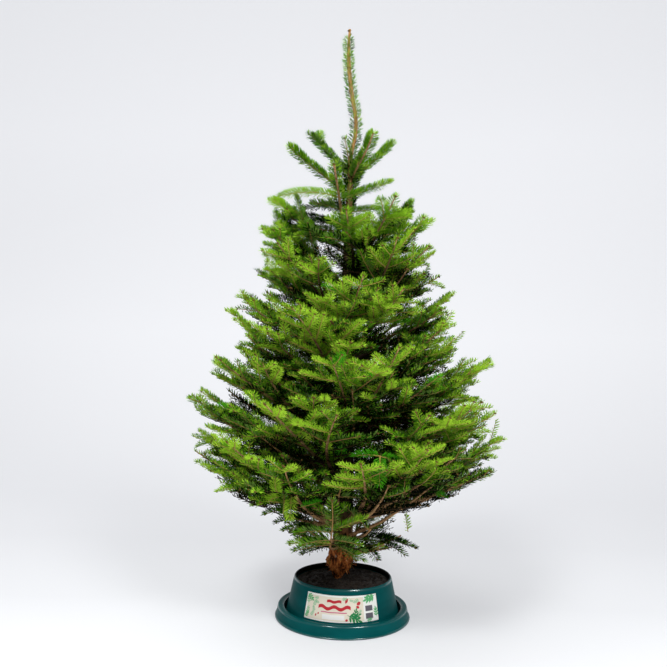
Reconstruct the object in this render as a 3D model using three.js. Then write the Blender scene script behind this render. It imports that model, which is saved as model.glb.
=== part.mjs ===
import * as THREE from 'three';

// A cut fir Christmas tree, built together with its round plastic stand.
// Millimetres, +Z up. The origin is the centre of the stand's flat underside and -Y is the front.
// The trunk runs whole from a flat cut on the stand's floor to the tip of the leader. Tiers of
// upswept foliage pads surround it. Each pad keeps to its own sector of its tier, and the tiers
// are dished surfaces one above the other, so no pad can reach into its neighbour.

// ---- Driving dimensions --------------------------------------------------------------------

const TREE_HEIGHT = 1800;
const GAP = 0.4; // clear space left between pieces that touch

const LATHE_FACETS = 32;
const STAND_BASE = { height: 34, floor: 10, footRadius: 198, topRadius: 192, innerRadius: 171 };
const POT = { rimHeight: 116, rimRadius: 143, footRadius: 166, wall: 5, floor: 5, band: 20 };
const SOIL = { height: 104, mound: 4, edgeDrop: 4 };

const TRUNK_SIDES = 12;
const TORN_FLARE = { top: 240, roundness: 0.88 }; // lumpy, peeled bark from the soil up to here
const TRUNK_CUT = STAND_BASE.floor + POT.floor + 2 * GAP;
const STUB = { radius: 15, shift: -17 }; // the whittled butt that stands in the soil
// Trunk radius at heights: stub, torn flare, stem, and the leader up to its tip.
const TRUNK_GIRTH = [
  [TRUNK_CUT, STUB.radius], [SOIL.height + 3, STUB.radius], [120, 18], [136, 32], [154, 39],
  [185, 35], [230, 29], [500, 24], [800, 19.5], [1100, 14], [1290, 9], [1400, 5.8], [1600, 4], [TREE_HEIGHT, 1.6],
];
// The trunk's centre line: sideways shift X, shift Y, height. The leader bows right, then left.
const TRUNK_LINE = [
  [STUB.shift, 0, TRUNK_CUT], [STUB.shift, 0, SOIL.height], [-5, 0, 165], [0, 0, 260], [-3, 2, 700],
  [-3, 1, 1080], [0, 0, 1390], [15, 2, 1455], [15, 3, 1515], [0, 1, 1590], [-10, -2, 1670],
  [-13, -3, 1755], [-9, -2, TREE_HEIGHT],
];

// One tier of foliage: the height where its dished middle surface meets the axis, how steeply
// that surface climbs and curls up, and how far the pads reach from the axis.
const TIERS = [
  { name: 'skirt', root: 182, slope: 0.34, curl: 0.3, inner: 76, reach: 262, count: 4, turn: -30, depth: 62 },
  { name: 'tier_1', root: 258, slope: 0.42, curl: 0.25, inner: 112, reach: 476, count: 6, turn: -6, depth: 80 },
  { name: 'tier_2', root: 376, slope: 0.43, curl: 0.24, inner: 46, reach: 472, count: 5, turn: 30, depth: 84 },
  { name: 'tier_3', root: 496, slope: 0.48, curl: 0.24, inner: 44, reach: 428, count: 5, turn: -4, depth: 86 },
  { name: 'tier_4', root: 617, slope: 0.5, curl: 0.24, inner: 42, reach: 372, count: 5, turn: 33, depth: 86 },
  { name: 'tier_5', root: 740, slope: 0.54, curl: 0.22, inner: 38, reach: 334, count: 4, turn: 4, depth: 84 },
  { name: 'tier_6', root: 860, slope: 0.58, curl: 0.2, inner: 34, reach: 300, count: 4, turn: -40, depth: 82 },
  { name: 'tier_7', root: 978, slope: 0.63, curl: 0.18, inner: 30, reach: 274, count: 3, turn: 57, depth: 80 },
];
const TIER_WOBBLE = 9; // how far one pad of a tier may sit above or below the others
const REACH_SPREAD = 0.07; // how much the pads of one tier differ in reach

// Single boughs of the bare top: heading in degrees, reach, root and tip height, half width.
const TOP_BOUGHS = [
  { name: 'upper_bough_front', heading: -107, reach: 222, root: 1098, tip: 1262, half: 150, depth: 60 },
  { name: 'upper_bough_right', heading: 10, reach: 206, root: 1092, tip: 1236, half: 112, depth: 62 },
  { name: 'upper_bough_back', heading: 92, reach: 196, root: 1100, tip: 1250, half: 112, depth: 62 },
  { name: 'upper_bough_left', heading: 176, reach: 226, root: 1090, tip: 1228, half: 108, depth: 62 },
  { name: 'whorl_spray_left', heading: 198, reach: 206, root: 1262, tip: 1402, half: 30, depth: 30 },
  { name: 'whorl_spray_back_left', heading: 140, reach: 162, root: 1322, tip: 1498, half: 30, depth: 32 },
  { name: 'whorl_spray_back', heading: 80, reach: 160, root: 1284, tip: 1418, half: 34, depth: 32 },
  { name: 'whorl_spray_right', heading: 20, reach: 142, root: 1310, tip: 1444, half: 30, depth: 30 },
  { name: 'whorl_spray_front', heading: -48, reach: 106, root: 1310, tip: 1434, half: 26, depth: 30 },
];
const LEADER_BRUSH = { from: 1425, to: 1786, radius: 11, sides: 8, steps: 5 };

const BOUGH = { sides: 6, steps: 3, rootRadius: 11, tipRadius: 6 };
const BARE_REACH = 60; // a tier whose foliage starts further out than this shows its bare boughs
const LOBES = 4; // side shoots on each edge of a pad
const LOBE_LEAD = 0.16; // how far a lobe points forward, as a share of the pad's width there
const NOTCH = 0.72; // the width between two lobes, as a share of the width at a lobe
const PAD_END = { width: 0.35, thickness: 0.5 }; // the blunt end of a pad, as shares of its last ring
const PAD_ROUGHNESS = { plan: 0.12, thickness: 0.14 };
const TRUNK_CLEARANCE = 7; // from the bare top's bark to its foliage
const SLEEVE_TAPER = 0.35; // how much slimmer the leader's needles get towards its tip
const PAD_SIDES = 8;
const SPRAY_SIDES = 6;
const TOP_BORDER = 0.78; // tangent of the half angle that a bough of the bare top keeps to
const PAD_BREADTH = 0.3; // share of its reach that a pad is wide, before its sector's share is added

// ---- Materials -----------------------------------------------------------------------------

function surface(colour, roughness) {
  return new THREE.MeshStandardMaterial({ color: colour, roughness, metalness: 0 });
}

const bark = () => surface(0x6b4630, 0.9);
const needles = () => surface(0x3f6b2a, 0.8);
const topNeedles = () => surface(0x5f8a34, 0.8);
const greenPlastic = () => surface(0x0f4a45, 0.45);
const soilCrumb = () => surface(0x231a15, 1);

// ---- Small helpers -------------------------------------------------------------------------

const radians = THREE.MathUtils.degToRad;

// A repeatable value from -1 to 1 for two whole numbers.
function wobble(first, second) {
  const wave = Math.sin(first * 12.9898 + second * 78.233) * 43758.5453;
  return 2 * (wave - Math.floor(wave)) - 1;
}

// Straight-line reading of a list of [position, value] pairs.
function readTable(table, position) {
  const next = table.findIndex(([place]) => place >= position);
  if (next <= 0) return next === 0 ? table[0][1] : table[table.length - 1][1];
  const [startPlace, startValue] = table[next - 1];
  const [endPlace, endValue] = table[next];
  const share = (position - startPlace) / (endPlace - startPlace);
  return startValue + share * (endValue - startValue);
}

function ring(sides, placePoint) {
  return Array.from({ length: sides }, (_, side) => placePoint((2 * Math.PI * side) / sides));
}

// Turns a row of equal rings into one closed body. The ends get a flat cap, or with looped set
// the last ring joins the first and the body is a hoop. Faces are turned to point outward.
function bodyFromRings(rings, looped = false) {
  const sides = rings[0].length;
  const points = rings.flat();
  const triangles = [];
  const spans = looped ? rings.length : rings.length - 1;
  for (let span = 0; span < spans; span += 1) {
    const near = span * sides;
    const far = ((span + 1) % rings.length) * sides;
    for (let side = 0; side < sides; side += 1) {
      const next = (side + 1) % sides;
      triangles.push([near + side, near + next, far + next], [near + side, far + next, far + side]);
    }
  }
  if (!looped) {
    for (const [start, flip] of [[0, true], [(rings.length - 1) * sides, false]]) {
      const middle = new THREE.Vector3();
      for (let side = 0; side < sides; side += 1) middle.addScaledVector(points[start + side], 1 / sides);
      points.push(middle);
      for (let side = 0; side < sides; side += 1) {
        const edge = [start + side, start + ((side + 1) % sides)];
        triangles.push([...(flip ? edge.reverse() : edge), points.length - 1]);
      }
    }
  }
  const volume = triangles.reduce((sum, [a, b, c]) => {
    const normal = new THREE.Vector3().crossVectors(points[b], points[c]);
    return sum + points[a].dot(normal);
  }, 0);
  if (volume < 0) triangles.forEach((corners) => corners.reverse());
  const geometry = new THREE.BufferGeometry().setFromPoints(points);
  geometry.setIndex(triangles.flat());
  geometry.computeVertexNormals();
  return geometry;
}

// A round piece from its [radius, height] outline, which starts and ends on the axis.
function turned(outline) {
  const profile = outline.map(([radius, height]) => new THREE.Vector2(radius, height));
  return new THREE.LatheGeometry(profile, LATHE_FACETS).rotateX(Math.PI / 2);
}

const group = new THREE.Group();
group.name = 'christmas_tree';

function addPart(name, geometry, material) {
  const mesh = new THREE.Mesh(geometry, material);
  mesh.name = name;
  group.add(mesh);
}

// ---- Stand ---------------------------------------------------------------------------------

function standBase() {
  const { height, floor, footRadius, topRadius, innerRadius } = STAND_BASE;
  return turned([
    [0, 0], [footRadius - 4, 0], [footRadius, 3], [footRadius, 6], [footRadius - 4, 9],
    [topRadius, height - 3], [topRadius - 3, height], [innerRadius + 2, height],
    [innerRadius, height - 2], [innerRadius, floor], [0, floor],
  ]);
}

// Inside radius of the pot at a height: its wall leans in as it rises.
function potInside(height) {
  const foot = STAND_BASE.floor + GAP;
  const share = (height - foot) / (POT.rimHeight - foot);
  return POT.footRadius + share * (POT.rimRadius - POT.footRadius) - POT.wall;
}

function standPot() {
  const foot = STAND_BASE.floor + GAP;
  const { rimHeight, rimRadius, wall, floor, band } = POT;
  const bandFoot = rimHeight - band;
  return turned([
    [0, foot], [POT.footRadius, foot], [potInside(bandFoot) + wall, bandFoot],
    [potInside(bandFoot) + wall + 1.5, bandFoot + 1.5], [rimRadius + 0.5, rimHeight - 4],
    [rimRadius - 2, rimHeight], [rimRadius - wall, rimHeight - 1],
    [potInside(foot + floor), foot + floor], [0, foot + floor],
  ]);
}

// Soil as a thick hoop between the pot's wall and the whittled end of the trunk.
function soil() {
  const bottom = STAND_BASE.floor + POT.floor + 2 * GAP;
  const hole = STUB.radius + 2 * GAP;
  const wallGap = 2 * GAP;
  const bands = [
    [hole, STUB.shift, bottom],
    [hole, STUB.shift, SOIL.height],
    [(hole + POT.rimRadius) / 2, STUB.shift / 2, SOIL.height + SOIL.mound / 2],
    [potInside(SOIL.height) - wallGap, 0, SOIL.height - SOIL.edgeDrop],
    [potInside(bottom) - wallGap, 0, bottom],
  ];
  const rings = bands.map(([radius, shift, height]) => ring(LATHE_FACETS, (angle) => (
    new THREE.Vector3(shift + radius * Math.cos(angle), radius * Math.sin(angle), height)
  )));
  return bodyFromRings(rings, true);
}

// ---- Trunk and boughs ----------------------------------------------------------------------

const trunkHeights = [...new Set([...TRUNK_GIRTH, ...TRUNK_LINE.map(([, , height]) => [height])]
  .map(([height]) => height))].sort((low, high) => low - high);

const trunkRadius = (height) => readTable(TRUNK_GIRTH, height);
const trunkShiftX = (height) => readTable(TRUNK_LINE.map(([x, , place]) => [place, x]), height);
const trunkShiftY = (height) => readTable(TRUNK_LINE.map(([, y, place]) => [place, y]), height);

function trunkRing(height, radius, sides, roundness = 1) {
  return ring(sides, (angle) => {
    const lump = 1 - (1 - roundness) * (0.5 + 0.5 * wobble(Math.round(angle * 10), Math.round(height)));
    return new THREE.Vector3(
      trunkShiftX(height) + radius * lump * Math.cos(angle),
      trunkShiftY(height) + radius * lump * Math.sin(angle),
      height,
    );
  });
}

// The torn flare above the soil is lumpy, and the rest of the trunk is round.
function trunk() {
  const isTorn = (height) => height > SOIL.height + GAP && height < TORN_FLARE.top;
  return bodyFromRings(trunkHeights.map((height) => (
    trunkRing(height, trunkRadius(height), TRUNK_SIDES, isTorn(height) ? TORN_FLARE.roundness : 1)
  )));
}

// Needles close round the leader: a hoop-shaped sleeve that follows its bends.
function leaderBrush() {
  const { from, to, radius, sides, steps } = LEADER_BRUSH;
  const between = trunkHeights.filter((height) => height > from && height < to);
  const even = Array.from({ length: steps + 1 }, (_, step) => from + ((to - from) * step) / steps);
  const heights = [...new Set([...even, ...between])].sort((low, high) => low - high);
  const outer = heights.map((height, index) => {
    const taper = 1 - SLEEVE_TAPER * ((height - from) / (to - from));
    return trunkRing(height, radius * taper * (index % 2 ? 1 : 0.86), sides);
  });
  const inner = heights.map((height) => trunkRing(height, trunkRadius(height) * 1.1 + GAP, sides));
  return bodyFromRings([...outer, ...inner.reverse()], true);
}

// Middle surface of a tier: its height at a distance from the axis.
function dish(tier, distance) {
  return tier.root + tier.slope * distance + (tier.curl * distance * distance) / 1000;
}

// One tapering limb that climbs along its tier's surface from the trunk to the pad's inner end.
function bough(tier, heading, lift, seed) {
  const { sides, steps, rootRadius, tipRadius } = BOUGH;
  const start = trunkRadius(dish(tier, 0)) + 3;
  const end = tier.inner - GAP;
  const along = new THREE.Vector3(Math.cos(heading), Math.sin(heading), 0);
  const across = new THREE.Vector3(-Math.sin(heading), Math.cos(heading), 0);
  const rings = Array.from({ length: steps + 1 }, (_, step) => {
    const share = step / steps;
    const distance = start + share * (end - start);
    const sway = 3 * wobble(seed, step) * Math.sin(Math.PI * share);
    const radius = rootRadius + share * (tipRadius - rootRadius);
    return ring(sides, (angle) => new THREE.Vector3()
      .addScaledVector(along, distance)
      .addScaledVector(across, radius * Math.cos(angle) + sway)
      .setZ(dish(tier, distance) + lift * share + radius * Math.sin(angle)));
  });
  return bodyFromRings(rings);
}

// ---- Foliage -------------------------------------------------------------------------------

// One closed pad of needles. Its plan is a fir bough's: narrow at the trunk, widest past the
// middle, with lobes where side shoots end, and it rides on a dished surface. The half width
// never passes the border of its sector, so pads of one tier stay apart.
function foliagePad(pad) {
  const { heading, inner, reach, half, depth, border, surfaceHeight, sides, seed } = pad;
  const along = new THREE.Vector3(Math.cos(heading), Math.sin(heading), 0);
  const across = new THREE.Vector3(-Math.sin(heading), Math.cos(heading), 0);
  const stations = 2 * LOBES + 1;
  const rings = [];
  for (let station = 0; station <= stations; station += 1) {
    const share = station / stations;
    const isLobe = station % 2 === 1;
    const isEnd = station === stations;
    const swell = Math.sin(Math.PI * Math.min(0.96, 0.1 + 0.88 * share ** 0.85)) ** 0.8;
    const thick = (depth / 2) * (0.34 + 0.66 * Math.sin(Math.PI * (0.12 + 0.74 * share)));
    rings.push(ring(sides, (angle) => {
      const side = Math.cos(angle);
      const up = Math.sin(angle);
      const sideSeed = seed * 7 + (side > 0 ? 1 : 2);
      const trim = isLobe ? 1 : NOTCH;
      const width = half * swell * trim * (1 + PAD_ROUGHNESS.plan * wobble(sideSeed, station));
      const lead = isLobe ? LOBE_LEAD * width * Math.abs(side) : 0;
      const distance = Math.min(reach, inner + share * (reach - inner) * 0.985 + lead);
      const allowed = Math.max(4, border * distance - 4);
      const acrossPlace = side * (isEnd ? PAD_END.width : 1) * Math.min(width, allowed);
      const radial = Math.hypot(distance, acrossPlace);
      const bump = 1 + PAD_ROUGHNESS.thickness * wobble(seed + station, Math.round(4 * up + 9));
      const height = surfaceHeight(radial) + up * thick * (isEnd ? PAD_END.thickness : 1) * bump;
      return new THREE.Vector3()
        .addScaledVector(along, distance)
        .addScaledVector(across, acrossPlace)
        .setZ(height);
    }));
  }
  return bodyFromRings(rings);
}

function buildTier(tier, tierIndex) {
  for (let index = 0; index < tier.count; index += 1) {
    const seed = 31 * tierIndex + index;
    const heading = radians(tier.turn + (360 * index) / tier.count);
    const lift = TIER_WOBBLE * wobble(seed, 5);
    const reach = tier.reach * (1 + REACH_SPREAD * (0.5 * wobble(seed, 3) - 0.5));
    const pad = {
      heading,
      inner: tier.inner,
      reach,
      half: reach * (PAD_BREADTH + 1.2 / tier.count),
      depth: tier.depth,
      border: Math.tan(Math.PI / tier.count),
      surfaceHeight: (distance) => dish(tier, distance) + lift,
      sides: PAD_SIDES,
      seed,
    };
    addPart(`foliage_${tier.name}_${index + 1}`, foliagePad(pad), needles());
    if (tier.inner > BARE_REACH) {
      addPart(`bough_${tier.name}_${index + 1}`, bough(tier, heading, lift, seed), bark());
    }
  }
}

function buildTopBough(top, index) {
  const inner = trunkRadius(top.root) * 1.1 + TRUNK_CLEARANCE;
  const climb = (top.tip - top.root) / top.reach;
  const pad = {
    heading: radians(top.heading),
    inner,
    reach: top.reach,
    half: top.half,
    depth: top.depth,
    border: TOP_BORDER,
    surfaceHeight: (distance) => top.root + climb * distance,
    sides: top.half > 50 ? PAD_SIDES : SPRAY_SIDES,
    seed: 400 + index,
  };
  addPart(`foliage_${top.name}`, foliagePad(pad), topNeedles());
}

// ---- Assembly ------------------------------------------------------------------------------

addPart('stand_base', standBase(), greenPlastic());
addPart('stand_pot', standPot(), greenPlastic());
addPart('soil', soil(), soilCrumb());
addPart('trunk', trunk(), bark());
TIERS.forEach(buildTier);
TOP_BOUGHS.forEach(buildTopBough);
addPart('foliage_leader', leaderBrush(), topNeedles());

export default group;
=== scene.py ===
import math

import bpy
import numpy as np
from mathutils import Matrix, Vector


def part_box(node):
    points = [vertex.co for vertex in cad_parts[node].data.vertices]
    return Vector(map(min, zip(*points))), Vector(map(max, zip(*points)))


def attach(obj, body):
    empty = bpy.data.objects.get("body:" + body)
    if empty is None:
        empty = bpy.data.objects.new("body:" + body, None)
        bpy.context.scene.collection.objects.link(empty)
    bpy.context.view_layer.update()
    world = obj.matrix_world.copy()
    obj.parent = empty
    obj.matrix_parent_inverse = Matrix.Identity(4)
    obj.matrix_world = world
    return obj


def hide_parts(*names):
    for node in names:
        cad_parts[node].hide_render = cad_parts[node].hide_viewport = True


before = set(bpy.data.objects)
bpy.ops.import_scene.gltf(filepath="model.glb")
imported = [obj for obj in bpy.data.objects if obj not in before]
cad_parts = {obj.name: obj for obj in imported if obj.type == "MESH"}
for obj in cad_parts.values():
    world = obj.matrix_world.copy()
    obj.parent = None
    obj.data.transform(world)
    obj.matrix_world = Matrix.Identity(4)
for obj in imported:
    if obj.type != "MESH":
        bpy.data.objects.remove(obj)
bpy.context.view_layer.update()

# A cut fir in a round plastic stand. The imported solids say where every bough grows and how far
# its foliage reaches; this script grows the boughs, twigs and needles in their place.

FULL = math.tau
GOLDEN = 0.618034  # steps by this share spread needles evenly round a twig
UP = np.array([0.0, 0.0, 1.0])

# ---- Sizes, in metres ------------------------------------------------------------------------

NEEDLE_LENGTH = 0.0205
NEEDLE_WIDTH = 0.0028
NEEDLE_RIDGE = 0.00035  # how far the edges lie below the line from root to tip
NEEDLES_PER_METRE = 740
TWIG_STEPS = 5  # points along each twig
LIMB_STEPS = 14  # points along each limb
LATERAL_GAP = 0.056  # between side shoots along a limb
SPUR_GAP = 0.050  # between the small shoots along a side shoot
SEED = 300  # of the first foliage mass; each next one grows from the seed after it
SHADE, DEEP, LEAF, FRESH, LIME, BRIGHT = range(6)  # needle tones, by spray
CROWDING = (0.5, 0.8, 1.0, 1.2, 1.3, 1.3)  # inner sprays carry fewer needles
FLAT = math.radians(112)  # how far down the sides the needles of a side shoot reach
PLUMP = math.radians(132)  # and those of a fuller spray
LEVELLED = np.array([1.0, 1.0, 0.4])  # side shoots rise less steeply than the limb they leave
LEADER_FOOT = 1.36
LEADER_BARE = 1.768  # the leader has no needles above this
FLAPS_HIGH = 0.3  # the torn bark's pattern repeats over this height
POT_RIM = 0.143  # outer radius at the mouth
LABEL_TURN = math.radians(40)  # half the angle that the sticker covers
LABEL_LOW = 0.033
LABEL_HIGH = 0.100
LABEL_SIZE = np.array([0.218, 0.067])  # width along the pot and height
LABEL_STEPS = 20  # points along each printed shape
SOIL_LEVEL = 0.0995
SOIL_EDGE = 0.1384  # the soil's radius at the pot's wall


# ---- Small helpers -----------------------------------------------------------------------------

def unit(vectors):
    """Vectors scaled to length one along their last axis."""
    size = np.linalg.norm(vectors, axis=-1, keepdims=True)
    return vectors / np.maximum(size, 1e-12)


def node_points(name):
    """The corner points of a CAD node as an array of rows."""
    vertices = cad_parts[name].data.vertices
    points = np.empty(3 * len(vertices))
    vertices.foreach_get("co", points)
    return points.reshape(-1, 3)


def nodes_starting(prefix):
    """Names of the CAD nodes that start with a word, in order."""
    return sorted(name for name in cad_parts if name.startswith(prefix))


def lattice_noise(across, along, cells_across, cells_along, seed):
    """Smooth noise from 0 to 1 that closes on itself across: random values on a lattice of cells,
    read between the lattice points with the weight 3t^2 - 2t^3. Both inputs run from 0 to 1."""
    lattice = np.random.default_rng(seed).random((cells_across, cells_along + 2))
    x = (across % 1.0) * cells_across
    y = np.clip(along, 0.0, 1.0) * cells_along
    column = np.floor(x).astype(int) % cells_across
    row = np.floor(y).astype(int)
    tx = x - np.floor(x)
    ty = y - row
    tx = tx * tx * (3 - 2 * tx)
    ty = ty * ty * (3 - 2 * ty)
    beside = (column + 1) % cells_across
    low = (1 - tx) * lattice[column, row] + tx * lattice[beside, row]
    high = (1 - tx) * lattice[column, row + 1] + tx * lattice[beside, row + 1]
    return (1 - ty) * low + ty * high


def read_path(path, places, at):
    """Points of a path where its running measure, places, reaches the values at."""
    return np.stack([np.interp(at, places, column) for column in path.T], axis=-1)


def level_out(turns):
    """Level directions at angles round the Z axis."""
    return np.stack([np.cos(turns), np.sin(turns), 0 * turns], axis=-1)


def drawn_in(ring, share):
    """A ring of points shrunk towards its middle."""
    middle = ring.mean(axis=-2, keepdims=True)
    return middle + share * (ring - middle)


def joined(faces, corners, count):
    """The faces of one small body repeated for count bodies of so many corners each."""
    return (faces[None] + corners * np.arange(count)[:, None, None]).reshape(-1, faces.shape[1])


# ---- Making pieces -----------------------------------------------------------------------------

def make_piece(name, points, faces, finish, slot, smooth=True):
    """A mesh object from points and faces, all faces with the same number of corners. A piece whose
    slot is None isn't part of the tree; any other piece is attached to the root body."""
    points = np.ascontiguousarray(points, dtype=np.float32)
    faces = np.ascontiguousarray(faces, dtype=np.int32)
    mesh = bpy.data.meshes.new(name)
    mesh.vertices.add(len(points))
    mesh.vertices.foreach_set("co", points.ravel())
    mesh.loops.add(faces.size)
    mesh.loops.foreach_set("vertex_index", faces.ravel())
    mesh.polygons.add(len(faces))
    mesh.polygons.foreach_set("loop_start", np.arange(0, faces.size, faces.shape[1], dtype=np.int32))
    mesh.polygons.foreach_set("use_smooth", np.full(len(faces), smooth))
    mesh.materials.append(finish)
    mesh.update(calc_edges=True)
    mesh.validate()
    piece = bpy.data.objects.new(name, mesh)
    bpy.context.scene.collection.objects.link(piece)
    if slot is not None:
        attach(piece, "root")
    return piece


def grid_faces(rows, columns, closed=False):
    """Four-cornered faces of a grid of points stored row by row. A closed grid joins the last
    point of each row to its first."""
    r, c = np.meshgrid(np.arange(rows - 1), np.arange(columns if closed else columns - 1), indexing="ij")
    c_next = (c + 1) % columns
    corners = [r * columns + c, r * columns + c_next, (r + 1) * columns + c_next, (r + 1) * columns + c]
    return np.stack([corner.ravel() for corner in corners], axis=1)


def turned(profile, segments=160):
    """Surface of revolution about Z. profile rows are (radius, height), listed up the outside and
    down the inside, and the point at angle a is (r cos a, r sin a, h). A pole is a tiny ring."""
    profile = np.asarray(profile, dtype=float)
    angle = np.linspace(0, FULL, segments, endpoint=False)
    radius = np.maximum(profile[:, :1], 1e-5)
    x = radius * np.cos(angle)
    y = radius * np.sin(angle)
    z = np.repeat(profile[:, 1:2], segments, axis=1)
    points = np.stack([x, y, z], axis=-1).reshape(-1, 3)
    faces = grid_faces(len(profile), segments, closed=True)
    return points, faces


def rounded(corners, arc_steps=6):
    """An outline whose corners (radius, height, rounding) are replaced by arcs: each is a quadratic
    curve from one rounding before the corner to one rounding after it."""
    outline = []
    places = np.array([corner[:2] for corner in corners], dtype=float)
    for index, corner in enumerate(corners):
        rounding = corner[2] if len(corner) > 2 else 0.0
        if rounding == 0.0 or index in (0, len(corners) - 1):
            outline.append(places[index])
            continue
        before = places[index - 1] - places[index]
        after = places[index + 1] - places[index]
        start = places[index] + before * min(0.45, rounding / np.linalg.norm(before))
        end = places[index] + after * min(0.45, rounding / np.linalg.norm(after))
        for t in np.linspace(0, 1, arc_steps):
            outline.append((1 - t) ** 2 * start + 2 * t * (1 - t) * places[index] + t * t * end)
    return np.array(outline)


def tubes(paths, radii, sides, ridge=None):
    """Tapering tubes along many paths at once. paths is (tubes, steps, 3) and radii (tubes, steps).
    Each ring lies square to its path: centre + r (cos a * side + sin a * above). The ends are
    closed by rings drawn in to a hair's width. ridge multiplies the radius at each ring corner."""
    count, steps, _ = paths.shape
    tangent = unit(np.gradient(paths, axis=1))
    guide = np.where(np.abs(tangent[..., 2:3]) > 0.9, np.array([1.0, 0.0, 0.0]), UP)
    side = unit(np.cross(tangent, guide))
    above = np.cross(side, tangent)
    angle = np.linspace(0, FULL, sides, endpoint=False)
    ring = (np.cos(angle)[:, None] * side[:, :, None, :] + np.sin(angle)[:, None] * above[:, :, None, :])
    width = radii[:, :, None, None] if ridge is None else (radii[:, :, None] * ridge)[..., None]
    rings = paths[:, :, None, :] + width * ring
    cap = 1e-5 * ring
    closed = np.concatenate([
        (paths[:, :1, None, :] + cap[:, :1]), rings, (paths[:, -1:, None, :] + cap[:, -1:]),
    ], axis=1)
    faces = grid_faces(steps + 2, sides, closed=True)
    return closed.reshape(-1, 3), joined(faces, (steps + 2) * sides, count)


# ---- Finishes ----------------------------------------------------------------------------------

class Field:
    """A value that changes over a surface: a node socket whose + - and * add Math nodes."""

    def __init__(self, finish, socket):
        self.finish = finish
        self.socket = socket

    def math(self, operation, first, second):
        return self.finish.node("ShaderNodeMath", {"operation": operation}, {0: first, 1: second})

    def __add__(self, other):
        return self.math("ADD", self, other)

    __radd__ = __add__

    def __sub__(self, other):
        return self.math("SUBTRACT", self, other)

    def __rsub__(self, other):
        return self.math("SUBTRACT", other, self)

    def __mul__(self, other):
        return self.math("MULTIPLY", self, other)

    __rmul__ = __mul__


class Finish:
    """One material. The constant values go straight on the shader's sockets, and node() adds any
    other node from its type, its settings and the values or links of its inputs."""

    def __init__(self, name, colour, roughness, **constants):
        self.material = bpy.data.materials.new(name)
        self.material.use_nodes = True
        self.tree = self.material.node_tree
        self.shader = self.tree.nodes["Principled BSDF"]
        self.shader.inputs["Base Color"].default_value = (*colour, 1.0)
        self.shader.inputs["Roughness"].default_value = roughness
        for socket, value in constants.items():
            self.shader.inputs[socket.replace("_", " ")].default_value = value

    def node(self, kind, settings=None, inputs=None, output=0):
        node = self.tree.nodes.new(kind)
        for key, value in (settings or {}).items():
            if key == "stops":
                self.set_stops(node.color_ramp, value)
            else:
                setattr(node, key, value)
        for key, value in (inputs or {}).items():
            self.feed(node.inputs[key], value)
        return Field(self, node.outputs[output])

    def feed(self, socket, value):
        if isinstance(value, Field):
            self.tree.links.new(value.socket, socket)
        elif isinstance(value, tuple) and len(value) == 3 and socket.type == "RGBA":
            socket.default_value = (*value, 1.0)
        else:
            socket.default_value = value

    def set_stops(self, ramp, stops):
        while len(ramp.elements) < len(stops):
            ramp.elements.new(0.5)
        for element, (place, colour) in zip(ramp.elements, stops):
            element.position = place
            element.color = (*colour, 1.0)

    def place(self, stretch=(1, 1, 1)):
        where = self.node("ShaderNodeTexCoord", output="Object")
        return self.node("ShaderNodeMapping", {}, {"Vector": where, "Scale": stretch})

    def axis(self, letter):
        """The place along X, Y or Z."""
        return self.node("ShaderNodeSeparateXYZ", {}, {"Vector": self.place()}, output=letter)

    def outward(self):
        """The distance from the Z axis."""
        flat = self.node("ShaderNodeVectorMath", {"operation": "MULTIPLY"}, {0: self.place(), 1: (1, 1, 0)})
        return self.node("ShaderNodeVectorMath", {"operation": "LENGTH"}, {0: flat}, output="Value")

    def noise(self, scale, detail=3.0, stretch=(1, 1, 1), rough=0.55):
        inputs = {"Vector": self.place(stretch), "Scale": scale, "Detail": detail, "Roughness": rough}
        return self.node("ShaderNodeTexNoise", {}, inputs)

    def ramp(self, value, stops):
        return self.node("ShaderNodeValToRGB", {"stops": stops}, {"Fac": value})

    def blend(self, share, first, second):
        """Colour mixed from first to second."""
        inputs = {0: share, 6: first, 7: second}
        return self.node("ShaderNodeMix", {"data_type": "RGBA"}, inputs, output=2)

    def step(self, value, low, high):
        """0 below low, 1 above high and a straight run between."""
        inputs = {"Value": value, "From Min": low, "From Max": high}
        return self.node("ShaderNodeMapRange", {}, inputs)

    def set(self, socket, value):
        """Feeds one of the shader's own sockets."""
        self.feed(self.shader.inputs[socket], value)

    def bump(self, height, distance, strength):
        inputs = {"Height": height, "Distance": distance, "Strength": strength}
        self.set("Normal", self.node("ShaderNodeBump", {}, inputs))


def rough_bark():
    """Torn red brown bark low down, nearly black with painted shade inside the crown, grey brown
    above it and tan on the leader: the colour of the grain is blended from one to the next by the height."""
    bark = Finish("trunk_bark", (0.12, 0.055, 0.028), 0.85, Specular_IOR_Level=0.1)
    grain = bark.noise(85.0, 6.0, (1.0, 1.0, 0.45), 0.7)
    patches = bark.noise(30.0, 3.0)
    height = bark.axis("Z")
    torn = bark.ramp(grain, [(0.42, (0.030, 0.008, 0.002)), (0.49, (0.240, 0.065, 0.014)),
                             (0.58, (0.500, 0.165, 0.040)), (0.70, (0.680, 0.340, 0.130))])
    stem = bark.ramp(grain, [(0.32, (0.030, 0.016, 0.009)), (0.52, (0.120, 0.070, 0.035)),
                             (0.74, (0.250, 0.165, 0.085))])
    young = bark.ramp(grain, [(0.30, (0.240, 0.110, 0.035)), (0.52, (0.440, 0.240, 0.085)),
                              (0.75, (0.560, 0.360, 0.160))])
    scuffed = bark.blend((patches - 0.62) * 8.0, torn, (0.62, 0.52, 0.40))
    mossy = bark.blend((0.40 - patches) * 7.0, scuffed, (0.20, 0.21, 0.035))
    # Painted shade: from 0.24 m up to 1.10 m high, inside the crown, the stem is blended to nearly black.
    inside = bark.blend(bark.step(height, 0.24, 0.42), stem, (0.020, 0.011, 0.006))
    stem = bark.blend(bark.step(height, 1.00, 1.10), inside, stem)
    lower = bark.blend(bark.step(height, 0.19, 0.27), mossy, stem)
    bark.set("Base Color", bark.blend(bark.step(height, 1.15, 1.42), lower, young))
    bark.set("Roughness", 0.95 - 0.2 * patches)
    bark.bump(grain, 0.0025, 0.8)
    return bark.material


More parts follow.
